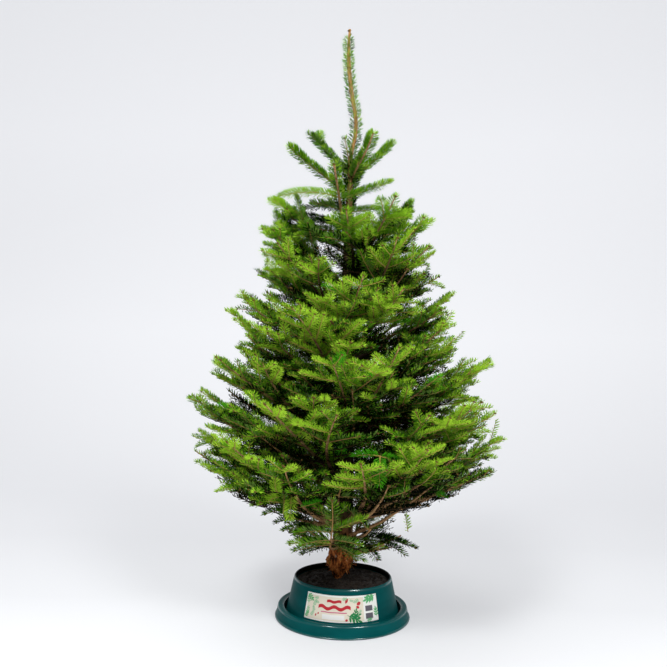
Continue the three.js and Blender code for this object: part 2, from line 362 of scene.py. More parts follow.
def limb_bark():
    """Smooth tan bark of the boughs with paler specks, and nearly black with painted shade deep inside the
    crown.
    """
    bark = Finish("limb_bark", (0.16, 0.09, 0.04), 0.8, Specular_IOR_Level=0.2)
    grain = bark.noise(160.0, 4.0)
    tan = bark.ramp(grain, [(0.32, (0.150, 0.075, 0.030)), (0.52, (0.360, 0.200, 0.085)),
                            (0.72, (0.520, 0.340, 0.170))])
    height = bark.axis("Z")
    # Painted shade: within 0.10 to 0.30 m of the trunk axis and between 0.30 and 1.15 m high the bark fades
    # to nearly black; lit marks where it keeps its tan.
    lit = bark.step(bark.outward(), 0.10, 0.30) + bark.step(height, 0.42, 0.30)
    lit = lit + bark.step(height, 1.05, 1.15)
    bark.set("Base Color", bark.blend(lit, (0.030, 0.016, 0.007), tan))
    bark.bump(grain, 0.0008, 0.6)
    return bark.material


def stand_plastic(name, edges, inside=0.0):
    """Dark blue green moulded plastic: faint flow marks, and a shine along its edges, which lie
    between the two heights of each pair. Nearer the axis than inside it has painted shade, nearly black."""
    plastic = Finish(name, (0.001, 0.072, 0.070), 0.4,
                     Specular_IOR_Level=0.02, Coat_Roughness=0.2, Coat_IOR=2.0)
    flow = plastic.noise(9.0, 4.0, (1.0, 1.0, 3.0))
    fine = plastic.noise(420.0, 2.0)
    plastic_colour = plastic.ramp(flow, [(0.30, (0.0005, 0.060, 0.062)), (0.55, (0.001, 0.076, 0.078)),
                                (0.80, (0.002, 0.092, 0.096))])
    # Painted shade: within the radius inside, on the pot's inner wall, the colour is blended to nearly
    # black.
    painted_inner_shade = plastic.step(plastic.outward(), inside + 0.001, inside)
    plastic.set("Base Color", plastic.blend(painted_inner_shade, plastic_colour, (0.002, 0.006, 0.006)))
    height = plastic.axis("Z")
    shine = 0.015
    for low, high in edges:
        shine = shine + plastic.step(height, low, high) * plastic.step(height, 2 * high - low, high)
    plastic.set("Coat Weight", shine)
    plastic.set("Roughness", 0.32 + 0.12 * flow)
    plastic.bump(fine, 0.0002, 0.2)
    return plastic.material


def potting_soil():
    """Nearly black soil with brown crumbs."""
    soil = Finish("potting_soil", (0.014, 0.009, 0.006), 0.95)
    crumbs = soil.noise(230.0, 5.0, rough=0.7)
    brown = soil.ramp(crumbs, [(0.35, (0.005, 0.003, 0.002)), (0.55, (0.019, 0.012, 0.008)),
                               (0.72, (0.062, 0.036, 0.020))])
    soil.set("Base Color", brown)
    soil.bump(crumbs, 0.002, 0.7)
    return soil.material


def printed_paper(name, colour):
    """Satin printed paper: one ink colour, mottled with one a little darker."""
    paper = Finish(name, colour, 0.38, Specular_IOR_Level=0.45)
    mottle = paper.noise(300.0, 3.0)
    dark = tuple(0.94 * value for value in colour)
    paper.set("Base Color", paper.blend(mottle, dark, colour))
    paper.set("Roughness", 0.30 + 0.16 * mottle)
    return paper.material


# ---- Reading the foliage solids ----------------------------------------------------------------

class Mass:
    """What one foliage solid says about the boughs in it: its heading from the trunk, how far out
    it starts and ends, the height of its middle surface and how wide its plan is."""

    def __init__(self, name):
        points = node_points(name)
        middle = points.mean(axis=0)
        self.name = name
        self.heading = math.atan2(middle[1], middle[0])
        self.along = np.array([math.cos(self.heading), math.sin(self.heading), 0.0])
        self.across = np.array([-math.sin(self.heading), math.cos(self.heading), 0.0])
        distance = points @ self.along
        offset = points @ self.across
        radial = np.hypot(points[:, 0], points[:, 1])
        self.inner = distance.min()
        self.reach = distance.max()
        self.surface = np.polyfit(radial, points[:, 2], 2)
        self.depth = 2 * np.abs(points[:, 2] - np.polyval(self.surface, radial)).max()
        self.stops = np.linspace(self.inner, self.reach, 12)
        window = 1.2 * (self.stops[1] - self.stops[0])
        near = np.abs(distance[None, :] - self.stops[:, None]) < window
        self.widths = np.where(near, np.abs(offset)[None, :], 0.0).max(axis=1)
        self.half = self.widths.max()
        self.bold = "upper" in name or "tier_7" in name
        self.size, self.crowd, self.sweep = (1.25, 1.7, PLUMP) if self.bold else (1.0, 1.0, FLAT)

    def height(self, radial):
        return np.polyval(self.surface, radial)

    def width(self, distance):
        return np.interp(distance, self.stops, self.widths)


def trunk_lines():
    """The trunk's centre line and radius at each height where its solid has a ring of corners."""
    trunk_points = node_points("trunk")
    heights = np.round(trunk_points[:, 2], 4)
    levels = np.unique(heights)
    centres = []
    girths = []
    for level in levels:
        ring = np.unique(np.round(trunk_points[heights == level], 5), axis=0)
        centre = ring[:, :2].mean(axis=0)
        spread = np.linalg.norm(ring[:, :2] - centre, axis=1)
        centres.append(centre)
        girths.append(np.sort(spread)[-6:].mean())
    return levels, np.array(centres), np.array(girths)


trunk_levels, trunk_centres, trunk_girths = trunk_lines()


def trunk_place(height):
    """Centre point and radius of the trunk at a height."""
    centre = np.append(read_path(trunk_centres, trunk_levels, height), height)
    return centre, float(np.interp(height, trunk_levels, trunk_girths))


# ---- The branching rule ------------------------------------------------------------------------

def underside(height):
    """How far from the axis the foliage reaches at a height low in the crown."""
    return np.interp(height, (0.15, 0.20, 0.30, 0.37, 0.44), (0.14, 0.16, 0.21, 0.34, 0.90))


class Shoots:
    """All twigs and limbs that carry needles, one row of values for each."""

    VALUES = ("path", "up", "tone", "root", "tip", "bare", "size", "sweep", "crowd")

    def __init__(self):
        self.rows = []
        self.buds = []

    def add(self, path, up, tone, root=0.0014, tip=0.0007, bare=0.04, size=1.0, sweep=FLAT, crowd=1.0):
        self.rows.append((path, up, tone, root, tip, bare, size, sweep, crowd))

    def every(self, value):
        """One value of all shoots as an array."""
        column = self.VALUES.index(value)
        return np.array([row[column] for row in self.rows])

    def prune(self):
        """Drops the shoots and buds that hang out of the crown's narrow underside."""
        tips = self.every("path")[:, -1]
        inside = np.hypot(tips[:, 0], tips[:, 1]) < underside(tips[:, 2])
        self.rows = [row for row, kept in zip(self.rows, inside) if kept]
        self.buds = [bud for bud in self.buds if np.hypot(bud[0][0], bud[0][1]) < underside(bud[0][2])]

    def bud(self, path, size):
        self.buds.append((path[-1], unit(path[-1] - path[-2]), size * draw.uniform(0.8, 1.25)))


shoots = Shoots()
limbs = []  # (path, root radius, tip radius)


def twig_path(start, heading, up, length, curl):
    """start + heading * s + up * curl * s^2 for s from 0 to length, with a slight sideways bow."""
    step = np.linspace(0, 1, TWIG_STEPS)[:, None]
    bow = draw.normal(0, 0.06) * length
    side = np.cross(heading, up)
    return start + length * (heading * step + up * curl * step ** 2) + side * bow * step * (1 - step)


def pick_tone(outward, high):
    """Tone of a spray from how far out and how high it is: nearly black inside the crown and darker
    low down, which is painted shade, and fresher and yellower towards the outside and top, partly the
    real young growth and partly painted light.
    """
    score = outward + 0.10 * high + draw.normal(0, 0.11)
    if draw.random() < 0.014:
        return BRIGHT
    return int(np.searchsorted((0.68, 0.80, 0.90, 0.995), score))


def outward_share(mass, spot):
    """How far out a spot is, as a share of the mass's reach."""
    return np.hypot(spot[0], spot[1]) / mass.reach


def add_brush(path, bare, tone, size=1.0, sweep=FLAT, crowd=1.0, bud=0.0032):
    """Needles along a limb itself, laid on three joined lengths of it."""
    edges = np.linspace(bare, 1.0, 4)
    place = np.linspace(0, 1, len(path))
    for start, end in zip(edges[:-1], edges[1:]):
        share = np.linspace(start, end, TWIG_STEPS)
        part = read_path(path, place, share)
        forward = part[-1] - part[0]
        up = unit(np.cross(np.cross(forward, UP), forward))
        shoots.add(part, up, tone, 0.0011, 0.0010, 0.0, size, sweep, crowd)
    shoots.bud(path, bud)


def grow_spurs(mass, shoot, heading, up, length, high):
    """Small shoots on both edges of a side shoot, shorter towards its tip."""
    place = 0.36 * length
    sideways = unit(np.cross(up, heading))
    while place < 0.80 * length:
        share = place / length
        spot = shoot[0] + (shoot[-1] - shoot[0]) * share
        for sign in (-1, 1):
            lean = math.radians(draw.normal(50, 8))
            lift = draw.normal(0.04, 0.18)
            direction = unit(math.cos(lean) * heading + sign * math.sin(lean) * sideways + lift * up)
            reach = np.clip((0.5 * (length - place) + 0.028) * draw.uniform(0.8, 1.15), 0.034, 0.075)
            tone = pick_tone(outward_share(mass, spot + direction * reach), high)
            roll = unit(up + 0.2 * draw.normal(size=3))
            if draw.random() < 0.86:
                path = twig_path(spot, direction, roll, reach, draw.normal(0.14, 0.1))
                shoots.add(path, roll, tone, 0.0012, crowd=CROWDING[tone])
                shoots.bud(path, 0.0022)
        place += SPUR_GAP * draw.uniform(0.9, 1.15)


def grow_side_shoots(mass, path, up, high, longest):
    """Side shoots on both edges of a limb, and spurs on the longer ones. A side shoot leaves at 60
    degrees near the root and 42 near the tip, and is as long as the mass's plan leaves room for,
    up to the longest."""
    up = unit(UP + 0.3 * up)
    distances = np.r_[0, np.cumsum(np.linalg.norm(np.diff(path, axis=0), axis=1))]
    total = distances[-1]
    place = mass.inner * 0.9 + 0.025
    first_side = draw.choice([-1, 1])
    while place < total - 0.018:
        share = place / total
        behind, spot, ahead = read_path(path, distances, place + np.array([-0.01, 0.0, 0.01]))
        forward = unit((ahead - behind) * LEVELLED)
        sideways = unit(np.cross(up, forward))
        inside = outward_share(mass, spot)
        for sign in (first_side, -first_side):
            lean = math.radians(60 - 18 * share + draw.normal(0, 6))
            lift = draw.normal(0.06, 0.14)
            heading = unit(math.cos(lean) * forward + sign * math.sin(lean) * sideways + lift * up)
            room = mass.width(spot @ mass.along) - max(0.0, sign * (spot @ mass.across))
            room = max(room, 0.03) / max(0.35, math.sin(lean)) + 0.02
            reach = min(0.62 * (total - place) + 0.036, room, longest) * draw.uniform(0.75, 1.12)
            reach = max(reach, 0.04)
            if draw.random() < (0.45 if inside < 0.35 else 0.06):
                continue
            tone = pick_tone(outward_share(mass, spot + heading * reach), high)
            roll = unit(up + 0.16 * draw.normal(size=3))
            shoot = twig_path(spot, heading, roll, reach, draw.normal(0.10, 0.10))
            shoots.add(shoot, roll, tone, 0.0012 + 0.008 * reach, 0.0009, 0.04, mass.size, mass.sweep,
                       mass.crowd * CROWDING[tone])
            shoots.bud(shoot, 0.0026)
            if reach > 0.098 and inside > 0.30 and not mass.bold:
                grow_spurs(mass, shoot, heading, up, reach, high)
        if draw.random() < 0.14 and inside > 0.4 and not mass.bold:
            lean = draw.uniform(0.5, 1.1)
            heading = unit(math.cos(lean) * forward + math.sin(lean) * up + 0.35 * draw.normal(size=3))
            roll = unit(np.cross(sideways, heading))
            raised = twig_path(spot, heading, roll, draw.uniform(0.04, 0.075), draw.normal(-0.1, 0.1))
            shoots.add(raised, roll, pick_tone(inside + 0.08, high), 0.0013)
            shoots.bud(raised, 0.0024)
        place += (1.25 if mass.bold else 1.0) * LATERAL_GAP * draw.uniform(0.8, 1.25)


def limb_path(mass, turn, level, reach_share, bare_reach, bend=0.0):
    """One limb through a mass. Its heading swings out from the mass's middle line by turn, as the
    distance from the trunk to the power 0.6, and it rides level above the middle surface. bend
    lifts or drops its outer half."""
    distance = np.linspace(0.01, 1.25 * mass.reach, 400)
    fits = np.abs(distance * math.sin(turn)) <= mass.width(distance * math.cos(turn))
    fits &= distance * math.cos(turn) <= mass.reach
    reach = distance[fits].max() * reach_share * draw.uniform(0.95, 1.02)
    centre, girth = trunk_place(mass.height(0.03))
    start = girth * 0.6
    step = np.linspace(0, 1, LIMB_STEPS)
    radial = start + (reach - start) * step
    swing = mass.heading + turn * np.clip((radial - bare_reach) / (reach - bare_reach), 0, 1) ** 0.6
    swing = swing + draw.normal(0, 0.035) * np.sin(math.pi * step)
    height = mass.height(radial) + level * np.sin(0.5 * math.pi * step)
    height = height + bend * step ** 2 + 0.012 * step ** 5
    path = np.stack([radial * np.cos(swing), radial * np.sin(swing), height], axis=1)
    path[:, :2] += centre[None, :2] * (1 - step[:, None])
    return path


def limb_plan(mass):
    """Turn, level and share of the reach for each limb of a mass, from its width and depth."""
    spread = math.atan2(mass.half, 0.72 * mass.reach)
    level = 0.42 * mass.depth
    plan = [(0.02, 0.5, 1.0), (0.62, -0.5, 0.98), (-0.64, -0.1, 0.97),
            (0.32, 1.3, 0.80), (-0.30, -1.2, 0.86)]
    if "upper" in mass.name:
        plan = [(0.0, 0.1, 1.0), (0.50, -0.5, 0.92), (-0.50, -0.9, 0.9)]
    if "skirt" in mass.name:
        plan = plan[:3]
    return [(turn * spread + draw.normal(0, 0.04), level * rise + draw.normal(0, 0.008), share)
            for turn, rise, share in plan]


def grow_mass(mass):
    """Limbs, side shoots and spurs of one foliage mass."""
    # Painted light and shade: masses higher in the tree and sprays on a mass's upper limbs get fresher
    # tones, those on its lower limbs darker ones; the right bough and the other bold masses are set darker.
    lift = np.clip((mass.height(mass.reach) - 0.3) / 1.1, 0, 1)
    lift -= 1.0 if "bough_right" in mass.name else 0.5 if mass.bold else 0.0
    bare_reach = 0.75 * mass.inner if mass.inner > 0.06 else 0.02
    for turn, level, share in limb_plan(mass):
        high = lift + 3.0 * level / max(mass.depth, 0.06)
        path = limb_path(mass, turn, level, share, bare_reach, draw.normal(-0.006, 0.016))
        thick = 0.0034 + 0.030 * mass.inner + 0.007 * mass.reach * share
        limbs.append((path, thick, 0.0015))
        length = np.linalg.norm(np.diff(path, axis=0), axis=1).sum()
        up = unit(np.cross(path[-1] - path[0], mass.across))
        up = up if up[2] > 0 else -up
        bare = min(0.75, (mass.inner + 0.03) / length)
        outer = pick_tone(0.97 * share, high)
        add_brush(path, bare, min(outer, FRESH), mass.size, mass.sweep, mass.crowd)
        grow_side_shoots(mass, path, up, high, 0.105 if "upper" in mass.name else 0.165)


def trimmed(limb):
    """The limb cut where it leaves the crown's underside."""
    path, root, tip = limb
    outside = np.hypot(path[:, 0], path[:, 1]) > underside(path[:, 2])
    if not outside.any():
        return limb
    last = max(2, int(np.argmax(outside)))
    share = np.linspace(0, last - 1, LIMB_STEPS)
    return read_path(path, np.arange(len(path)), share), root, tip


def aimed(heading, rise):
    """Direction at a compass heading and a rise above level, both in degrees."""
    turn, lift = math.radians(heading), math.radians(rise)
    return np.array([math.cos(turn) * math.cos(lift), math.sin(turn) * math.cos(lift), math.sin(lift)])


def laid_shoot(start, heading, rise, length, droop, tone, size=1.3, sweep=PLUMP, crowd=2.2):
    """A single spray from a given start, bending down by droop times its length."""
    direction = aimed(heading, rise)
    side = unit(np.cross(direction, UP))
    up = np.cross(side, direction)
    path = twig_path(start, direction, up, length, -droop)
    shoots.add(path, up, tone, 0.0022, 0.0011, 0.03, size, sweep, crowd)
    shoots.bud(path, 0.0034)


# Side sprays of the front upper bough: share along it, heading, rise, length, droop and tone.
FRONT_SPRAYS = (
    (0.66, 186, 16, 0.160, 0.30, LIME), (0.64, 2, 15, 0.155, -0.10, FRESH),
    (0.46, 4, 10, 0.108, 0.02, FRESH), (0.30, -4, 14, 0.105, 0.34, LEAF),
    (0.50, 172, 22, 0.088, 0.10, LEAF), (0.30, 178, 12, 0.095, 0.12, DEEP),
)


def grow_front_bough(mass):
    """The front upper bough: one stem with long sprays on both sides and a broad tip."""
    path = limb_path(mass, 0.09, 0.0, 1.0, 0.02, 0.012)
    limbs.append((path, 0.0062, 0.0028))
    add_brush(path, 0.60, FRESH, 1.3, math.radians(118), 2.2)
    add_brush(path, 0.20, DEEP, 0.9)
    place = np.linspace(0, 1, LIMB_STEPS)
    for share, heading, rise, length, droop, tone in FRONT_SPRAYS:
        laid_shoot(read_path(path, place, share), heading, rise, length, droop, tone)


def grow_whorl_spray(mass):
    """One of the single sprays under the leader: a plump brush, denser towards its tip. The back
    ones have two small shoots near the tip."""
    bends = {"left": (0.95, -0.012), "front": (0.93, -0.006)}
    share, bend = bends.get(mass.name.split("_")[-1], (0.985, -0.004))
    path = limb_path(mass, 0.0, 0.0, share, 0.01, bend)
    limbs.append((path, 0.0046, 0.0024))
    add_brush(path, 0.06, int(draw.choice([LEAF, FRESH])), 1.5, PLUMP, 3.2)
    add_brush(path, 0.62, FRESH, 1.3, PLUMP, 1.2)
    heading = math.degrees(mass.heading)
    if "back" in mass.name:
        laid_shoot(path[-2], heading - 62, 52, 0.042, 0.0, FRESH)
        laid_shoot(path[-3], heading + 60, 34, 0.046, 0.0, LEAF)


# Single sprays standing out of the top of the crown: start, heading, rise, length, droop and tone.
TOP_SPRAYS = (
    ((-0.090, -0.120, 1.040), 196, 66, 0.190, -0.05, LEAF),
    ((-0.110, -0.130, 1.095), 150, 60, 0.070, 0.0, FRESH),
    ((-0.105, -0.130, 1.085), 250, 50, 0.060, 0.0, LEAF),
    ((-0.160, -0.060, 1.095), 150, 62, 0.095, 0.0, DEEP),
    ((-0.195, -0.060, 1.098), 160, 72, 0.100, 0.0, LEAF),
    ((-0.050, -0.030, 1.170), 185, 14, 0.120, 0.10, DEEP),
    ((-0.045, -0.040, 1.140), 200, 4, 0.125, 0.10, LEAF),
    ((-0.040, -0.060, 1.110), 215, 0, 0.130, 0.05, FRESH),
    ((-0.040, -0.050, 1.215), 178, 4, 0.090, 0.15, DEEP),
    ((0.085, -0.060, 1.165), 6, 22, 0.105, 0.05, DEEP),
    ((0.140, -0.060, 1.140), 20, 62, 0.105, 0.0, LEAF),
)


def grow_skirt_ring():
    """Short sprays round the trunk at the crown's foot, all round but for the open front."""
    for heading in np.linspace(10, 350, 18) + draw.uniform(-6, 6, 18):
        level = draw.uniform(0.215, 0.265)
        if -140 < (heading + 180) % 360 - 180 < -40:
            continue
        start = trunk_place(level)[0] + 0.05 * aimed(heading, 0)
        laid_shoot(start, heading, draw.uniform(-6, 14), draw.uniform(0.07, 0.11), 0.12,
                   int(draw.choice([DEEP, LEAF])), 1.0, FLAT, 1.2)


# Short sprays round the trunk where the whorl starts: height, heading, rise, length and tone.
WHORL_HEART = (
    (1.335, -112, 62, 0.105, LEAF), (1.30, -60, 50, 0.085, LEAF), (1.29, 215, 40, 0.070, DEEP),
    (1.31, 120, 55, 0.080, DEEP), (1.25, -20, 30, 0.070, DEEP), (1.22, 150, 30, 0.080, DEEP),
    (1.24, 60, 40, 0.090, DEEP), (1.20, -150, 25, 0.075, DEEP),
)


# Single sprays low on the front: start, heading, rise, length, droop and tone.
LOW_SPRAYS = (
    ((-0.032, -0.295, 0.285), -88, 70, 0.112, 0.05, LEAF),
    ((-0.032, -0.300, 0.303), 176, 8, 0.085, 0.20, LEAF),
    ((-0.031, -0.300, 0.306), 6, 24, 0.092, 0.05, FRESH),
    ((-0.031, -0.315, 0.335), 158, 34, 0.048, 0.0, LEAF),
    ((-0.031, -0.315, 0.337), 24, 38, 0.050, 0.0, LEAF),
    ((-0.032, -0.285, 0.280), 192, 4, 0.070, 0.20, LEAF),
    ((-0.030, -0.280, 0.280), -10, 2, 0.070, 0.15, LEAF),
    ((-0.032, -0.240, 0.262), 186, 8, 0.105, 0.15, FRESH),
    ((-0.030, -0.230, 0.260), -8, -6, 0.090, 0.10, DEEP),
    ((-0.030, -0.180, 0.245), 200, 0, 0.105, 0.10, LEAF),
    ((-0.028, -0.170, 0.243), -28, -12, 0.095, 0.10, LEAF),
    ((-0.028, -0.110, 0.228), 214, -2, 0.100, 0.10, DEEP),
    ((-0.026, -0.100, 0.226), -48, -10, 0.090, 0.10, LEAF),
    ((-0.080, -0.100, 0.280), 190, -4, 0.090, 0.10, LEAF),
    ((-0.110, -0.120, 0.305), 200, 0, 0.080, 0.15, DEEP),
    ((-0.140, -0.130, 0.330), 190, -5, 0.080, 0.10, LEAF),
    ((-0.170, -0.150, 0.345), 185, 5, 0.080, 0.15, FRESH),
    ((-0.090, -0.100, 0.285), 240, -10, 0.070, 0.10, DEEP),
    ((-0.130, -0.130, 0.320), 250, -12, 0.060, 0.10, LEAF),
    ((-0.013, -0.310, 0.400), -72, 56, 0.075, 0.05, LEAF),
    ((-0.013, -0.300, 0.396), 176, 6, 0.080, 0.15, FRESH),
    ((-0.010, -0.300, 0.392), 8, 4, 0.075, 0.15, LEAF),
    ((0.068, -0.250, 0.299), 172, 42, 0.105, 0.0, LEAF),
    ((0.050, -0.050, 0.240), -22, 4, 0.160, 0.16, DEEP),
    ((0.100, -0.070, 0.232), -34, -4, 0.085, 0.22, DEEP),
    ((0.050, -0.055, 0.225), -48, -22, 0.075, 0.10, DEEP),
    ((0.095, -0.060, 0.240), 10, 4, 0.080, 0.30, DEEP),
    ((-0.134, -0.300, 0.400), -100, -80, 0.060, 0.0, LIME),
    ((-0.134, -0.300, 0.398), 186, -10, 0.080, 0.15, LIME),
    ((0.086, -0.360, 0.502), -95, -82, 0.064, 0.0, BRIGHT),
    ((0.086, -0.355, 0.502), 172, 10, 0.060, 0.2, BRIGHT),
    ((0.086, -0.355, 0.502), -4, -12, 0.066, 0.1, BRIGHT),
)
# Bare boughs that carry them: points from the trunk outwards.
LOW_BOUGHS = (
    ((-0.026, -0.02, 0.195), (-0.028, -0.12, 0.235), (-0.031, -0.22, 0.262), (-0.032, -0.30, 0.292)),
    ((-0.022, -0.02, 0.260), (-0.020, -0.13, 0.320), (-0.015, -0.23, 0.368), (-0.013, -0.31, 0.402)),
    ((0.000, -0.02, 0.215), (0.030, -0.10, 0.245), (0.055, -0.19, 0.272), (0.070, -0.25, 0.302)),
    ((0.010, -0.01, 0.230), (0.091, -0.10, 0.283), (0.168, -0.18, 0.352), (0.232, -0.22, 0.412)),
    ((-0.040, -0.02, 0.280), (-0.080, -0.12, 0.330), (-0.112, -0.22, 0.375), (-0.134, -0.30, 0.400)),
)


def grow_low_boughs():
    """The low front boughs, each a line through its points with the corners eased."""
    steps = np.linspace(0, 1, LIMB_STEPS)
    for points in LOW_BOUGHS:
        path = read_path(np.array(points), np.linspace(0, 1, len(points)), steps)
        path[1:-1] = (path[:-2] + 2 * path[1:-1] + path[2:]) / 4
        limbs.append((path, 0.0058, 0.0020))


def lay_sprays(sprays, size, sweep, crowd):
    """All sprays of a list, with needles of one size, sweep and crowding."""
    for start, heading, rise, length, droop, tone in sprays:
        laid_shoot(np.array(start), heading, rise, length, droop, tone, size, sweep, crowd)


def needle_sleeve(levels, lines, pick, size, sweep, crowd):
    """Needles all round the trunk between each two levels, on so many lines up its side."""
    for start, end in zip(levels[:-1], levels[1:]):
        centres = np.array([trunk_place(level)[0] for level in np.linspace(start, end, TWIG_STEPS)])
        girth = trunk_place(end)[1]
        for out in level_out(np.linspace(0, FULL, lines, endpoint=False) + draw.uniform(0, 1)):
            shoots.add(centres + 0.8 * girth * out, out, pick(), 0.0004, 0.0004, 0.0, size, sweep, crowd)


def grow_leader():
    """Short needles all round the leader up to its bare tip and, longer, round the stem under it,
    with buds up the leader."""
    needle_sleeve(np.linspace(LEADER_FOOT, LEADER_BARE, 9), 5,
                  lambda: FRESH if draw.random() < 0.35 else LEAF, 1.28, math.radians(40), 0.42)
    needle_sleeve((1.215, 1.255, 1.295, 1.335, LEADER_FOOT), 7,
                  lambda: int(draw.choice([DEEP, LEAF])), 1.05, math.radians(50), 0.7)
    for height in np.r_[np.linspace(1.56, 1.78, 7), 1.793, 1.796]:
        centre, girth = trunk_place(height)
        turn = draw.uniform(0, FULL)
        out = np.array([math.cos(turn), math.sin(turn), 0.6])
        shoots.buds.append((centre + 0.9 * girth * unit(out), unit(out), 0.0042))


# ---- Needles -----------------------------------------------------------------------------------

def needle_rows():
    """Places and directions of all needles at once. A needle points cos(f) forward + sin(f)
    outward, where the forward angle f is 54 degrees on top of the twig and 68 low on its sides,
    and falls to less than half of that at the tip. Its upper face looks up and along the twig, so
    the underside shows from below and behind."""
    paths = shoots.every("path")
    ups = shoots.every("up")
    bare = shoots.every("bare")
    lengths = np.linalg.norm(np.diff(paths, axis=1), axis=2).sum(axis=1)
    counts = lengths * (1 - bare) * NEEDLES_PER_METRE * shoots.every("crowd")
    counts = np.maximum(10, counts).astype(int)
    owner = np.repeat(np.arange(len(counts)), counts)
    total = len(owner)
    order = np.arange(total) - np.repeat(np.cumsum(counts) - counts, counts)
    share = bare[owner] + (1 - bare[owner]) * (order + 0.5 + draw.uniform(-0.4, 0.4, total)) / counts[owner]
    spot = np.clip(share * (TWIG_STEPS - 1), 0, TWIG_STEPS - 1.001)
    low = spot.astype(int)
    part = (spot - low)[:, None]
    base = (1 - part) * paths[owner, low] + part * paths[owner, low + 1]
    forward = unit(paths[owner, low + 1] - paths[owner, low])
    up = unit(ups[owner] - (ups[owner] * forward).sum(axis=1, keepdims=True) * forward)
    side = np.cross(forward, up)
    sign = np.where(order % 2 == 0, 1.0, -1.0)
    spread = ((order // 2) * GOLDEN + draw.uniform(-0.06, 0.06, total)) % 1.0
    spread = spread ** 0.8
    sweep = shoots.every("sweep")[owner]
    around = sign * (math.radians(6) + (sweep - math.radians(6)) * spread)
    outward = np.cos(around)[:, None] * up + np.sin(around)[:, None] * side
    tip = np.clip((share - 0.8) / 0.2, 0, 1)
    lean = np.radians((54 + 14 * spread) * (1 - 0.55 * tip) + draw.normal(0, 2.5, total))
    heading = unit(np.cos(lean)[:, None] * forward + np.sin(lean)[:, None] * outward + 0.08 * up)
    length = NEEDLE_LENGTH * shoots.every("size")[owner] * (0.84 + 0.16 * spread) * (1 - 0.22 * tip)
    length = length * (0.8 + 0.2 * np.clip(share / 0.15, 0, 1)) * draw.uniform(0.93, 1.06, total)
    flat = unit(0.55 * forward + 0.8 * up + 0.10 * draw.normal(size=(total, 3)))
    return base, heading, flat, length, shoots.every("tone")[owner], share


def needle_flakes(base, heading, flat, length):
    """The four corners of each needle: root, tip and two edge points two thirds of the way out,
    which lie a little below the line from root to tip, so a ridge runs along the top."""
    wide = unit(np.cross(flat, heading))
    normal = np.cross(heading, wide)
    waist = base + 0.66 * length[:, None] * heading - NEEDLE_RIDGE * normal
    half = 0.5 * NEEDLE_WIDTH * wide
    tip = base + length[:, None] * heading + 0.08 * length[:, None] * normal
    return np.stack([base, tip, waist + half, waist - half], axis=1)


def flake_piece(name, flakes, corners, finish, slot):
    """One joined piece from the given two faces of every flake."""
    faces = joined(np.array(corners), 4, len(flakes))
    return make_piece(name, flakes.reshape(-1, 3), faces, finish, slot, smooth=False)


TOP_FACES = [[0, 3, 1], [0, 1, 2]]
UNDER_FACES = [[0, 2, 3], [2, 1, 3]]

TONE_NAMES = {SHADE: "shade", DEEP: "deep", LEAF: "leaf", FRESH: "fresh", LIME: "lime", BRIGHT: "bright"}
# SHADE and DEEP are near black: painted shade for the sprays inside the crown and low in each mass.
TONE_COLOURS = {
    SHADE: (0.001, 0.005, 0.0002),
    DEEP: (0.005, 0.024, 0.0006),
    LEAF: (0.033, 0.122, 0.003),
    FRESH: (0.128, 0.325, 0.007),
    LIME: (0.350, 0.590, 0.035),
    BRIGHT: (0.060, 0.330, 0.006),
}
UNDER_COLOURS = {
    LEAF: (0.140, 0.245, 0.045),
}


def dress_needles():
    """The needles as joined pieces: for each tone one of upper faces, and one of undersides where
    the tone has its own colour for them. Needles near a twig's tip are often a tone fresher, and
    some anywhere stray by a tone."""
    base, heading, flat, length, tones, share = needle_rows()
    tipward = (share > 0.70) & (tones >= DEEP) & (tones < LIME) & (draw.random(len(share)) < 0.6)
    tones = np.where(tipward, tones + 1, tones)
    stray = draw.choice([-1, 0, 1], len(share), p=[0.17, 0.69, 0.14])
    tones = np.where((tones >= DEEP) & (tones <= FRESH), tones + stray, tones)
    flakes = needle_flakes(base, heading, flat, length)
    made = []
    for tone, word in TONE_NAMES.items():
        chosen = flakes[tones == tone]
        slot = "top_needles" if tone >= LIME else "needles"
        gloss = 0.02 if tone <= DEEP else 0.08
        for start, finish_start, colours, corners in (
                ("needles_", "needle_top_", TONE_COLOURS, TOP_FACES),
                ("needle_undersides_", "needle_under_", UNDER_COLOURS, UNDER_FACES)):
            if tone in colours:
                finish = Finish(finish_start + word, colours[tone], 0.6, Specular_IOR_Level=gloss)
                made.append(flake_piece(start + word, chosen, corners, finish.material, slot))
    return made


# ---- Trunk, boughs and twigs -------------------------------------------------------------------

def smooth_rows(rows, width):
    """Running mean along the first axis with the end values held."""
    kernel = np.ones(width) / width
    padded = np.pad(rows, ((width // 2, width // 2), (0, 0)), mode="edge")
    return np.stack([np.convolve(column, kernel, "valid") for column in padded.T], axis=1)


def leader_fullness(height):
    """How much stouter than its bare core the leader is with its bark: up to twice, near the tip."""
    return 1 + 0.12 * np.clip((height - 1.36) / 0.08, 0, 1) + 1.0 * np.clip((height - 1.50) / 0.2, 0, 1)


